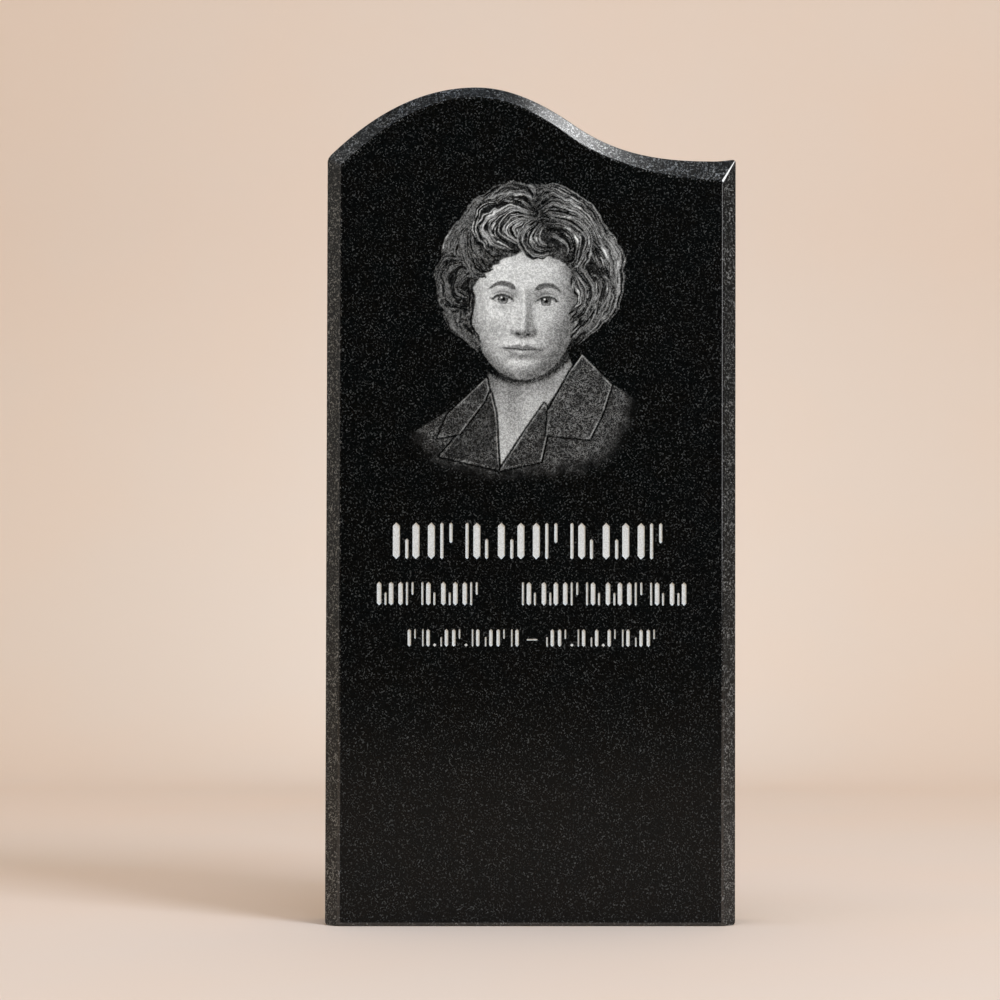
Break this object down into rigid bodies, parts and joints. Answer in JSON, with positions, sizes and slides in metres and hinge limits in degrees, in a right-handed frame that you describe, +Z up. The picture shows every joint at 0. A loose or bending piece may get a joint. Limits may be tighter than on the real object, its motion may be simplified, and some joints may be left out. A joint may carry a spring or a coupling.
{
  "type": "headstone",
  "caption": "Upright polished granite grave marker with a wave-shaped crown, a bevelled face, an etched portrait and rows of cut strokes.",
  "frame": {"origin": "middle of the underside, at the centre of the footprint of the slab's box", "axes": "+X to the right of someone facing the inscribed face, +Y from the face to the back through the thickness, +Z up"},
  "size_m": [0.4886, 0.08, 1],
  "materials": {
    "polished_granite": "polished"
  },
  "bodies": {
    "root": {"headstone_slab": "polished_granite"}
  },
  "joints": []
}
